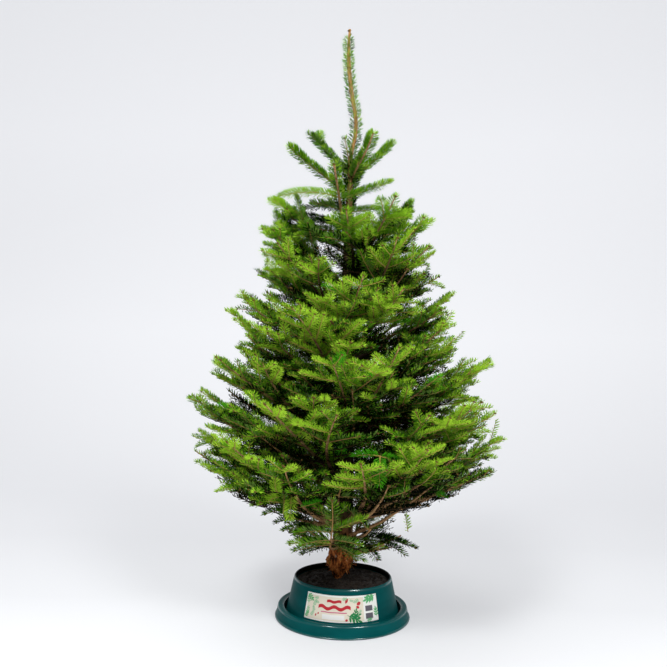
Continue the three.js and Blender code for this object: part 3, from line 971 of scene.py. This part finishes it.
def build_trunk():
    """The trunk as one skin: at height z and angle a the radius is girth(z) * (1 + relief(a, z)).
    The relief is deep and torn near the foot, shallow plates on the stem and none on the leader."""
    foot = trunk_levels[0]
    top = trunk_levels[-1]
    rows, columns = 400, 72
    share = np.linspace(0, 1, rows)
    height = foot + (top - foot) * share ** 1.35
    girth = np.interp(height, trunk_levels, trunk_girths) * leader_fullness(height)
    line = np.column_stack([read_path(trunk_centres, trunk_levels, height), girth])
    line = smooth_rows(line, 9)
    line[:, 2] *= 0.62 + 0.38 * np.clip((height - 0.104) / 0.036, 0, 1)
    angle = np.linspace(0, 1, columns, endpoint=False)
    a, h = np.meshgrid(angle, height)
    torn = np.clip((0.25 - h) / 0.08, 0, 1) * np.clip((h - 0.090) / 0.02, 0, 1)
    along = (h - foot) / (top - foot)
    low = h / FLAPS_HIGH
    plates = lattice_noise(a + 0.4 * along, along, 13, 90, 3) + 0.6 * lattice_noise(a, along, 29, 260, 4)
    shreds = lattice_noise(a + 1.5 * along, low, 15, 24, 5) + 0.7 * lattice_noise(a, low, 36, 40, 6)
    layer = h / 0.021 + 2.2 * lattice_noise(a, low, 6, 5, 7) + 0.35 * shreds
    flaps = (1 - layer % 1.0) * lattice_noise(a, low, 9, 14, 8)
    bulges = lattice_noise(a, low, 4, 7, 9) - 0.5
    relief = 0.07 * (plates - 0.8) * np.clip((1.3 - h) / 0.3, 0, 1)
    relief = relief + torn * (0.14 * (shreds - 0.85) + 0.46 * (flaps - 0.25) + 0.40 * bulges)
    radius = line[:, 2:3] * (1 + relief)
    points = np.stack([line[:, :1] + radius * np.cos(FULL * a),
                       line[:, 1:2] + radius * np.sin(FULL * a), h], axis=-1)
    middles = np.column_stack([line[:, :2], height])
    caps = [middles[end] + 1e-6 * (points[end] - points[end].mean(0)) for end in (0, -1)]
    points = np.concatenate([caps[0][None], points, caps[1][None]])
    faces = grid_faces(rows + 2, columns, closed=True)
    piece = make_piece("trunk_bark", points.reshape(-1, 3), faces, rough_bark(), "bark")
    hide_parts("trunk")


def build_torn_strips():
    """Strips of bark that peel off the foot: each runs out and falls or rises as s to the power 1.6
    for s from 0 to 1, and tapers."""
    count = 90
    out = level_out(draw.uniform(0, FULL, count))
    level = draw.uniform(0.126, 0.180, count)
    middle = np.column_stack([read_path(trunk_centres, trunk_levels, level), level])
    start = middle + 0.9 * np.interp(level, trunk_levels, trunk_girths)[:, None] * out
    length = draw.uniform(0.007, 0.016, count)[:, None, None]
    step = np.linspace(0, 1, 5)[None, :, None]
    fall = (UP * draw.uniform(-1.0, 0.25, (count, 1)))[:, None, :]
    twist = 0.5 * draw.normal(size=(count, 1, 3))
    paths = start[:, None] + length * (0.6 * out[:, None] * step + (fall + twist) * step ** 1.6)
    radii = np.repeat(draw.uniform(0.0014, 0.0030, (count, 1)), 5, axis=1) * np.linspace(1, 0.3, 5)
    points, faces = tubes(paths, radii, 4)
    make_piece("torn_bark_strips", points, faces, rough_bark(), "bark")


def build_limbs():
    """All boughs and limbs as round tapering tubes with a lumpy bark."""
    paths, roots, tips = (np.array(column) for column in zip(*limbs))
    share = np.linspace(0, 1, LIMB_STEPS)
    radii = tips[:, None] + (roots - tips)[:, None] * (1 - share) ** 1.1
    sides = 8
    ridge = 1 + 0.10 * draw.normal(size=(len(limbs), LIMB_STEPS, sides)).clip(-1.5, 1.5)
    points, faces = tubes(paths, radii, sides, ridge)
    piece = make_piece("boughs", points, faces, limb_bark(), "bark")
    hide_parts(*nodes_starting("bough_"))


def build_twigs():
    """The twigs as slim three-sided tubes, tan where they are young and nearly black with painted shade on
    the inner sprays.
    """
    paths = shoots.every("path")
    root = shoots.every("root")[:, None]
    tip = shoots.every("tip")[:, None]
    radii = root + (tip - root) * np.linspace(0, 1, TWIG_STEPS)
    tones = shoots.every("tone")
    # Painted shade: the twigs of SHADE and DEEP sprays are nearly black.
    for name, chosen, colour in (("inner_twigs", tones <= DEEP, (0.034, 0.019, 0.007)),
                                 ("old_twigs", tones == LEAF, (0.30, 0.175, 0.060)),
                                 ("young_twigs", tones >= FRESH, (0.42, 0.29, 0.075))):
        points, faces = tubes(paths[chosen], radii[chosen], 3)
        bark = Finish(name + "_bark", colour, 0.7, Specular_IOR_Level=0.1)
        make_piece(name, points, faces, bark.material, "bark")


# A grain has eight faces between a low point, four points round its middle and a high point.
GRAIN_CORNERS = np.array([[0, 0, -1.0], [1, 0, 0], [0, 1, 0], [-1, 0, 0], [0, -1, 0], [0, 0, 1]])
GRAIN_FACES = np.array([[0, 2, 1], [0, 3, 2], [0, 4, 3], [0, 1, 4],
                        [5, 1, 2], [5, 2, 3], [5, 3, 4], [5, 4, 1]])


def build_grains(name, corners, places, finish, slot):
    """One piece of all grains, whose corners are given from their own places."""
    faces = joined(GRAIN_FACES, len(GRAIN_CORNERS), len(places))
    make_piece(name, (places[:, None] + corners).reshape(-1, 3), faces, finish, slot)


def build_buds():
    """Buds at the shoot tips, pointed grains that look along them: one on a small shoot, and a
    cluster of three on a strong one."""
    tips, forward, size = (np.array(column) for column in zip(*shoots.buds))
    strong = size > 0.0026
    side = unit(np.cross(forward, UP + 0.01))
    above = np.cross(side, forward)
    places = [tips + 0.4 * size[:, None] * forward]
    axes = [forward]
    sizes = [size]
    for turn in (0.5, 3.6):
        out = (math.cos(turn) * side + math.sin(turn) * above)[strong]
        places.append(tips[strong] + size[strong, None] * (0.5 * forward[strong] + 0.8 * out))
        axes.append(unit(forward[strong] + 0.7 * out))
        sizes.append(0.8 * size[strong])
    axes = np.concatenate(axes)
    across = unit(np.cross(axes, np.array([0.31, 0.17, 0.93])))
    basis = np.stack([across, np.cross(axes, across), axes], axis=1)
    pointed = GRAIN_CORNERS * np.array([[1.0]] * 5 + [[1.3]])
    corners = np.einsum("nck,nkj->ncj", pointed[None] * np.concatenate(sizes)[:, None, None], basis)
    finish = Finish("bud_scales", (0.14, 0.085, 0.024), 0.7, Specular_IOR_Level=0.1)
    build_grains("buds", corners, np.concatenate(places), finish.material, "bark")


# ---- Stand -------------------------------------------------------------------------------------

_, ring_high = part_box("stand_base")
pot_low, pot_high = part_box("stand_pot")


def pot_wall(height):
    """Outer radius of the pot at a height: a straight line from its foot to its mouth."""
    share = (height - pot_low[2]) / (pot_high[2] - pot_low[2])
    return pot_high[0] + (POT_RIM - pot_high[0]) * share


def build_stand():
    """Base ring and pot as turned surfaces with rounded corners."""
    foot, rim = ring_high[0], ring_high[2]
    inner = foot - 0.0275
    outline = rounded([
        (0, 0), (foot - 0.003, 0, 0.002), (foot, 0.002, 0.0015), (foot, 0.0050, 0.002),
        (foot - 0.0050, 0.0075, 0.002), (foot - 0.0080, rim - 0.002, 0.006), (foot - 0.0130, rim, 0.004),
        (foot - 0.025, rim - 0.001, 0.003), (inner, rim - 0.004, 0.002), (inner, 0.010, 0.002), (0, 0.010),
    ])
    shiny = stand_plastic("ring_plastic", ((0.001, 0.004), (rim - 0.0065, rim - 0.0035)))
    base = make_piece("stand_base_ring", *turned(outline), shiny, "stand_plastic")
    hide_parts("stand_base")
    bottom, top = pot_low[2], pot_high[2]
    outline = rounded([
        (0, bottom), (pot_wall(bottom) - 0.002, bottom, 0.002),
        (pot_wall(bottom + 0.003), bottom + 0.003, 0.002), (pot_wall(top - 0.009), top - 0.009, 0.003),
        (pot_wall(top) + 0.0004, top - 0.003, 0.003), (POT_RIM - 0.0022, top, 0.0022),
        (POT_RIM - 0.0044, top - 0.0005, 0.001), (POT_RIM - 0.0050, top - 0.004, 0.002),
        (pot_wall(bottom) - 0.006, bottom + 0.005, 0.002), (0, bottom + 0.005),
    ])
    # Painted shade: the pot is nearly black within POT_RIM - 0.0028 of its axis, on its inner wall.
    shiny = stand_plastic("pot_plastic", ((top - 0.0085, top - 0.0045),), POT_RIM - 0.0028)
    pot = make_piece("stand_pot_shell", *turned(outline), shiny, "stand_plastic")
    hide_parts("stand_pot")


def on_label(spots, lift):
    """Points on the pot from places on the label: across it from 0 to 1, and up it from 0 to 1."""
    turn = LABEL_TURN * (2 * spots[..., 0] - 1) - math.radians(1)
    height = LABEL_LOW + (LABEL_HIGH - LABEL_LOW) * spots[..., 1]
    radius = pot_wall(height) + lift
    return np.stack([radius * np.sin(turn), -radius * np.cos(turn), height], axis=-1)


def band(left, right, low, high, wave=0.0, waves=3.0):
    """The two edges of a band across the label, its height swinging by wave."""
    share = np.linspace(0, 1, LABEL_STEPS)
    across = left + (right - left) * share
    swing = wave * np.sin(FULL * waves * share)
    return np.stack([across, high + swing], axis=1), np.stack([across, low + swing], axis=1)


def leaf(across, height, turn, length, width):
    """The two edges of a pointed leaf, width * sin(pi s)^0.8 wide at share s of its length."""
    share = np.linspace(0, 1, LABEL_STEPS)[:, None]
    run = aimed(turn, 0)[:2]
    side = np.array([-run[1], run[0]])
    middle = np.array([across, height]) + share * length * run / LABEL_SIZE
    half = np.sin(math.pi * share) ** 0.8 * side * width / 2 / LABEL_SIZE
    return middle + half, middle - half


def sprig(across, height, turn, size):
    """Seven leaves along a stalk."""
    leaves = [leaf(across, height, turn, size, 0.06 * size)]
    for step, lean in ((0.25, 55), (0.25, -55), (0.5, 48), (0.5, -48), (0.75, 38), (0.75, -38), (0.9, 0)):
        place = np.array([across, height]) + step * size * aimed(turn, 0)[:2] / LABEL_SIZE
        leaves.append(leaf(*place, turn + lean, 0.42 * size, 0.15 * size))
    return leaves


def sprigs(*rows):
    """The leaves of several sprigs: across, height, turn and size of each."""
    return [shape for row in rows for shape in sprig(*row)]


def stickers(name, shapes, lift, colour):
    """Thin closed printed shapes on the pot, each a flat four-cornered tube between two edges."""
    left, right = np.clip(np.array(shapes), 0.004, 0.996).swapaxes(0, 1)
    loop = np.stack([on_label(left, lift + 0.0003), on_label(left, lift), on_label(right, lift),
                     on_label(right, lift + 0.0003)], axis=2)
    points = np.concatenate([drawn_in(loop[:, :1], 1e-3), loop, drawn_in(loop[:, -1:], 1e-3)], axis=1)
    faces = grid_faces(LABEL_STEPS + 2, 4, closed=True)[:, ::-1]
    faces = joined(faces, 4 * (LABEL_STEPS + 2), len(shapes))
    make_piece(name, points.reshape(-1, 3), faces, printed_paper(name, colour), "", smooth=False)


def build_label():
    """A printed label without writing: leaf sprigs, plain ribbons, blank panels and squares."""
    stickers("label_sheet", [band(0.0, 1.0, 0.0, 1.0)], 0.0002, (0.92, 0.92, 0.88))
    stickers("label_ground", [band(0.03, 0.79, 0.05, 0.93)], 0.0006, (0.82, 0.75, 0.62))
    ribbons = [band(0.31, 0.50, 0.72, 0.82, 0.02, 1.5), band(0.20, 0.62, 0.47, 0.60, 0.05, 2.5),
               leaf(0.55, 0.72, 60, 0.014, 0.007), leaf(0.70, 0.66, 30, 0.013, 0.009),
               leaf(0.69, 0.60, -20, 0.010, 0.007), leaf(0.55, 0.08, 20, 0.008, 0.006),
               leaf(0.17, 0.16, 80, 0.007, 0.004), leaf(0.20, 0.24, 70, 0.006, 0.004)]
    stickers("label_ribbons", ribbons, 0.0009, (0.52, 0.018, 0.030))
    stickers("label_line", [band(0.24, 0.57, 0.345, 0.385, 0.004, 2.0)], 0.0009, (0.62, 0.16, 0.26))
    stickers("label_panel", [band(0.26, 0.54, 0.10, 0.28)], 0.0009, (0.88, 0.87, 0.85))
    mint = sprigs((0.05, 0.55, 100, 0.020), (0.13, 0.50, 70, 0.016), (0.04, 0.15, 80, 0.018),
                  (0.14, 0.74, -20, 0.012), (0.10, 0.12, 60, 0.014), (0.60, 0.84, -10, 0.010),
                  (0.74, 0.86, 200, 0.016), (0.76, 0.50, 240, 0.012), (0.20, 0.86, 190, 0.012),
                  (0.50, 0.86, 10, 0.014), (0.15, 0.30, 110, 0.014))
    stickers("label_mint_leaves", mint, 0.0009, (0.30, 0.56, 0.33))
    green = sprigs((0.02, 0.95, -35, 0.022), (0.98, 0.96, 196, 0.034), (0.95, 0.84, 172, 0.024),
                   (0.97, 0.12, 95, 0.022), (0.82, 0.05, 12, 0.014), (0.02, 0.04, 60, 0.016))
    stickers("label_green_leaves", green, 0.0012, (0.10, 0.46, 0.17))
    dark = sprigs((0.57, 0.30, -25, 0.036), (0.66, 0.10, 75, 0.024), (0.60, 0.14, 20, 0.028))
    stickers("label_dark_leaves", dark, 0.0012, (0.010, 0.22, 0.060))
    stickers("label_squares", [band(0.815, 0.915, 0.40, 0.60), band(0.815, 0.915, 0.12, 0.32)],
             0.0009, (0.115, 0.105, 0.125))


def build_soil():
    """Loose soil: a disc whose height at share s of its radius is a mound as cos(s pi / 2) plus
    two sizes of lumps, turned down at the pot's wall and closed below."""
    low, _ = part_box("soil")
    rings, spokes = 70, 180
    angle = np.linspace(0, 1, spokes, endpoint=False)
    a, s = np.meshgrid(angle, np.linspace(0, 1, rings))
    radius = SOIL_EDGE * s
    lumps = lattice_noise(a, s, 40, 16, 21) + 0.6 * lattice_noise(a, s, 90, 34, 22)
    height = SOIL_LEVEL + 0.006 * np.cos(0.5 * math.pi * s) + 0.0060 * (lumps - 0.8) * (1 - 0.6 * s ** 8)
    points = np.stack([radius * np.cos(FULL * a), radius * np.sin(FULL * a), height], axis=-1)
    points[0] = points[0].mean(axis=0) + 1e-5 * level_out(FULL * angle)
    skirt = points[-1].copy()
    skirt[:, 2] = low[2]
    foot = np.array([[0, 0, low[2]]])
    bottom = foot + 1e-5 * (skirt - foot)
    points = np.concatenate([points, skirt[None], bottom[None]])[::-1]
    faces = grid_faces(rings + 2, spokes, closed=True)
    finish = potting_soil()
    bed = make_piece("soil_bed", points.reshape(-1, 3), faces, finish, "soil")
    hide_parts("soil")
    build_crumbs(finish)


def build_crumbs(finish):
    """Uneven crumbs strewn over the mound, few of them large."""
    count = 1500
    turn = draw.uniform(0, FULL, count)
    out = 0.131 * np.sqrt(draw.random(count))
    size = 0.0012 + 0.0022 * draw.random(count) ** 3
    mound = SOIL_LEVEL + 0.0055 * np.cos(0.5 * math.pi * out / SOIL_EDGE)
    places = out[:, None] * level_out(turn) + UP * (mound + 0.0015 * draw.random(count))[:, None]
    corners = GRAIN_CORNERS[None] * size[:, None, None] * draw.uniform(0.5, 1.4, (count, 6, 1))
    build_grains("soil_crumbs", corners, places, finish, "soil")


# ---- Camera, light and floor -------------------------------------------------------------------

def aim_camera():
    """The camera stands in front at waist height, looks slightly up and rolls a degree."""
    look = aimed(91.22, 4.63)
    right = aimed(1.22, 0)
    above = np.cross(right, look)
    roll = math.radians(-1.15)
    data = bpy.data.cameras.new("camera")
    data.sensor_width = 36
    data.lens = 35.08
    camera = bpy.data.objects.new("camera", data)
    turn = np.eye(4)
    turn[:3, 0] = right * math.cos(roll) - above * math.sin(roll)
    turn[:3, 1] = right * math.sin(roll) + above * math.cos(roll)
    turn[:3, 2] = -look
    turn[:3, 3] = (0, -1.979, 0.672)
    camera.matrix_world = Matrix(turn.tolist())
    bpy.context.scene.collection.objects.link(camera)
    bpy.context.scene.camera = camera


def add_light(name, place, target, size, power):
    """A square soft light at a place, turned to its target."""
    data = bpy.data.lights.new(name, "AREA")
    data.size = size
    data.energy = power
    light = bpy.data.objects.new(name, data)
    light.location = place
    direction = np.array(target) - np.array(place)
    light.rotation_euler = (
        math.atan2(np.hypot(direction[0], direction[1]), -direction[2]), 0,
        math.atan2(direction[1], direction[0]) - math.pi / 2,
    )
    bpy.context.scene.collection.objects.link(light)


def build_studio():
    """A pale floor that curves up into a backdrop and glows a little itself, soft lights in front
    and above, and a dim surround."""
    paper = Finish("studio_paper", (0.49, 0.50, 0.51), 0.9, Specular_IOR_Level=0.0, Emission_Strength=1.0)
    # Painted light: the paper glows by itself, 0.44 in front of the stand, 0.335 just behind it and up to
    # about 0.63 towards the back of the backdrop.
    depth = paper.axis("Y")
    near = paper.blend(paper.step(depth, -0.4, 0.1), (0.440, 0.440, 0.458), (0.335, 0.335, 0.353))
    glow = paper.blend(paper.step(depth, 0.9, 5.0), near, (0.625, 0.630, 0.655))
    paper.set("Emission Color", glow)
    side = np.linspace(-9, 9, 2)
    bend = np.linspace(0, 0.5 * math.pi, 40)
    depth = np.r_[-7.0, 2.2 + 3.8 * np.sin(bend), 6.0]
    rise = np.r_[0.0, 3.8 * (1 - np.cos(bend)), 9.0]
    x, row = np.meshgrid(side, np.arange(len(depth)))
    points = np.stack([x, depth[row], rise[row] - 0.0002], axis=-1)
    faces = grid_faces(len(depth), 2)
    floor = make_piece("studio_floor", points.reshape(-1, 3), faces, paper.material, None)
    add_light("key_light", (-1.3, -2.6, 3.6), (0, 0, 0.8), 1.0, 100)
    add_light("fill_light", (1.7, -2.8, 2.7), (0, 0, 0.6), 1.0, 92)
    add_light("top_light", (-1.0, 0.4, 4.2), (0, 0, 0.9), 3.6, 75)
    world = bpy.data.worlds.new("surround")
    world.use_nodes = True
    surround = world.node_tree.nodes["Background"]
    surround.inputs["Color"].default_value = (0.95, 0.97, 1.0, 1)
    surround.inputs["Strength"].default_value = 0.12
    bpy.context.scene.world = world
    bpy.context.scene.view_settings.view_transform = "Standard"


# ---- Assembly ----------------------------------------------------------------------------------

def grow_foliage(name):
    """What stands in for one foliage solid."""
    if name == "foliage_leader":
        grow_leader()
    elif name == "foliage_upper_bough_front":
        grow_front_bough(Mass(name))
    elif "whorl" in name:
        grow_whorl_spray(Mass(name))
    else:
        grow_mass(Mass(name))


aim_camera()
build_studio()
for seed, name in enumerate(nodes_starting("foliage_"), SEED):
    draw = np.random.default_rng(seed)  # every random value comes from here
    grow_foliage(name)
for height, heading, rise, length, tone in WHORL_HEART:
    laid_shoot(trunk_place(height)[0], heading, rise, length, 0.0, tone, 1.1, PLUMP, 1.4)
lay_sprays(TOP_SPRAYS, 1.3, PLUMP, 2.2)
grow_skirt_ring()
shoots.prune()
limbs = [trimmed(limb) for limb in limbs]
grow_low_boughs()
lay_sprays(LOW_SPRAYS, 1.15, FLAT, 1.5)
needle_pieces = dress_needles()
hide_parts(*nodes_starting("foliage_"))
build_trunk()
build_torn_strips()
build_limbs()
build_twigs()
build_buds()
build_stand()
build_label()
build_soil()
